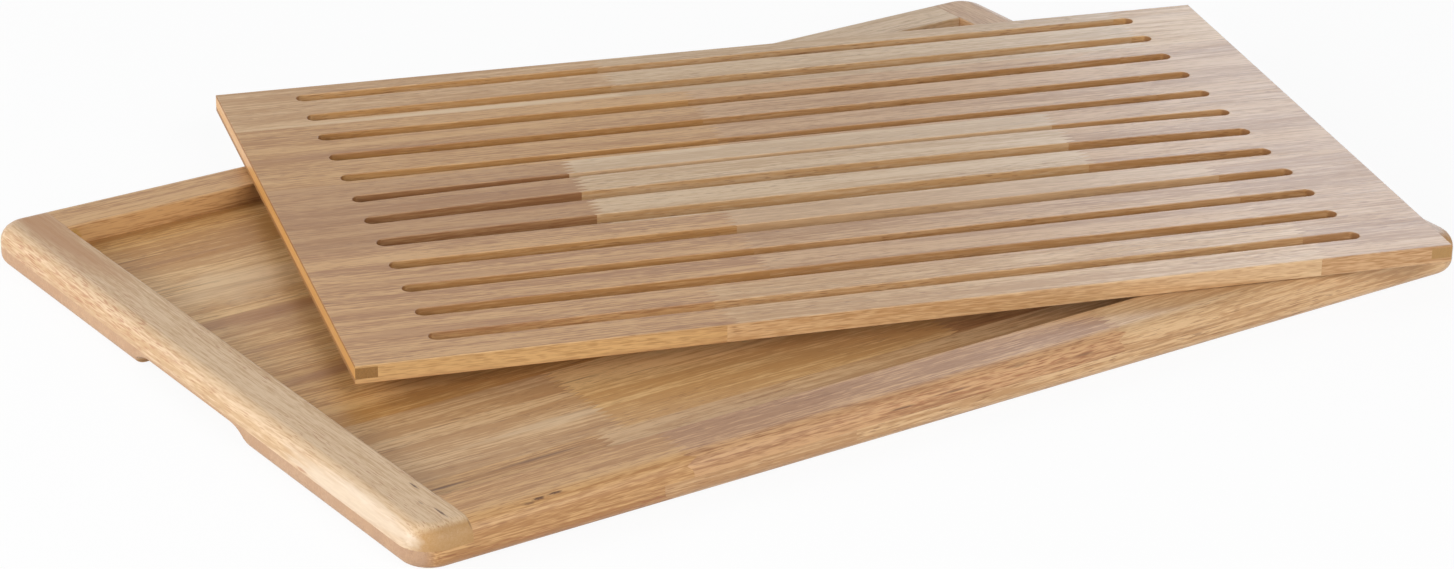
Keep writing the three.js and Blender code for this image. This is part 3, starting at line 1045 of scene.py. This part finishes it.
def put_on_wood():
    """Gives every shown piece, and the tongues kept from the CAD, its own wood."""
    group = rubberwood()
    spot_group = spot()
    shown = [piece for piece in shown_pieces() if piece.type == "MESH"]
    for number, piece in enumerate(sorted(shown, key=lambda item: item.name)):
        node = piece.name.removesuffix("_wood")
        piece.data.materials.clear()
        piece.data.materials.append(wood_material(node, number, group, spot_group))


# Stage

FLOOR_REACH = 6
FLOOR_DROP = 0.2 * MM
FLOOR_TONE = (0.9, 0.9, 0.9, 1)
FLOOR_ROUGHNESS = 0.9
FLOOR_SHADOW_SHARE = 0.08
AMBIENT_STRENGTH = 0.115
LIGHT_DISTANCE = 2.2


def floor():
    """A pale floor that the camera sees as nearly white and that keeps the object's shadow."""
    mesh = bpy.data.meshes.new("floor")
    reach = FLOOR_REACH
    corners = [(-reach, -reach, -FLOOR_DROP), (reach, -reach, -FLOOR_DROP)]
    corners += [(reach, reach, -FLOOR_DROP), (-reach, reach, -FLOOR_DROP)]
    mesh.from_pydata(corners, [], [(0, 1, 2, 3)])
    piece = bpy.data.objects.new("floor", mesh)
    bpy.context.scene.collection.objects.link(piece)
    material = bpy.data.materials.new("pale floor")
    material.use_nodes = True
    tree = material.node_tree
    shader = tree.nodes["Principled BSDF"]
    shader.inputs["Base Color"].default_value = FLOOR_TONE
    shader.inputs["Roughness"].default_value = FLOOR_ROUGHNESS
    glow = tree.nodes.new("ShaderNodeEmission")
    mix = tree.nodes.new("ShaderNodeMixShader")
    share = math_node(tree, "MULTIPLY", seen_as_background(tree), 1 - FLOOR_SHADOW_SHARE)
    tree.links.new(share, mix.inputs[0])
    tree.links.new(shader.outputs[0], mix.inputs[1])
    tree.links.new(glow.outputs[0], mix.inputs[2])
    tree.links.new(mix.outputs[0], tree.nodes["Material Output"].inputs["Surface"])
    mesh.materials.append(material)
    piece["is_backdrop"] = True


def seen_as_background(tree):
    """One for the rays that show a background: the camera's, and those of gloss and of glass."""
    path = tree.nodes.new("ShaderNodeLightPath").outputs
    share = math_node(tree, "MAXIMUM", path["Is Camera Ray"], path["Is Glossy Ray"])
    return math_node(tree, "MAXIMUM", share, path["Is Transmission Ray"])


def world():
    """White where a ray shows the background, and a little even light from all round."""
    studio = bpy.data.worlds.new("studio")
    bpy.context.scene.world = studio
    studio.use_nodes = True
    tree = studio.node_tree
    background = tree.nodes["Background"]
    background.inputs["Color"].default_value = (1, 1, 1, 1)
    strength = ramp(tree, seen_as_background(tree), 0, 1, AMBIENT_STRENGTH, 1)
    tree.links.new(strength, background.inputs["Strength"])


def area_light(name, azimuth, elevation, size, power, colour=(1, 1, 1)):
    """A square soft light that faces the object's middle: degrees, metres and watts."""
    azimuth, elevation = math.radians(azimuth), math.radians(elevation)
    flat = math.cos(elevation)
    towards = Vector((flat * math.cos(azimuth), flat * math.sin(azimuth), math.sin(elevation)))
    data = bpy.data.lights.new(name, "AREA")
    data.size = size
    data.energy = power
    data.color = colour
    light = bpy.data.objects.new(name, data)
    bpy.context.scene.collection.objects.link(light)
    light.location = LIGHT_DISTANCE * towards
    light.rotation_euler = towards.to_track_quat("Z", "Y").to_euler()


def lights():
    """Soft lights: a strong low one on the left, others in front and behind, and a cool low one far right."""
    area_light("left_light", azimuth=180, elevation=12, size=1.2, power=34)
    area_light("back_left_light", azimuth=145, elevation=30, size=1.2, power=19)
    area_light("front_light", azimuth=270, elevation=28, size=1.4, power=35)
    area_light("back_right_light", azimuth=34, elevation=20, size=0.9, power=9.2, colour=(0.88, 1, 1.14))


def camera():
    """The photograph's camera, with the picture's centre set off by the lens shift."""
    azimuth, elevation, roll = CAMERA_AZIMUTH, CAMERA_ELEVATION, CAMERA_ROLL
    flat = np.array([math.sin(azimuth), -math.cos(azimuth)]) * math.cos(elevation)
    backward = np.array([*flat, math.sin(elevation)])
    right = np.cross(-backward, (0, 0, 1))
    right /= np.linalg.norm(right)
    up = np.cross(right, -backward)
    rolled_right = math.cos(roll) * right + math.sin(roll) * up
    rolled_up = math.cos(roll) * up - math.sin(roll) * right
    data = bpy.data.cameras.new("camera")
    data.sensor_width = SENSOR_WIDTH
    data.lens = FOCAL_PIXELS / IMAGE_WIDTH * SENSOR_WIDTH
    data.shift_x = (IMAGE_WIDTH / 2 - CENTRE_PIXEL[0]) / IMAGE_WIDTH
    data.shift_y = (CENTRE_PIXEL[1] - IMAGE_HEIGHT / 2) / IMAGE_WIDTH
    data.clip_start = NEAREST_SEEN
    data.clip_end = FARTHEST_SEEN
    item = bpy.data.objects.new("camera", data)
    bpy.context.scene.collection.objects.link(item)
    place = AIM + CAMERA_DISTANCE * backward
    columns = [[*column, 0] for column in (rolled_right, rolled_up, backward)] + [[*place, 1]]
    item.matrix_world = Matrix(columns).transposed()
    bpy.context.scene.camera = item


camera()
base_lengths()
side_rails()
long_rails()
board_lengths()
put_on_wood()
floor()
world()
lights()
bpy.context.scene.view_settings.view_transform = "Standard"

bpy.context.view_layer.update()
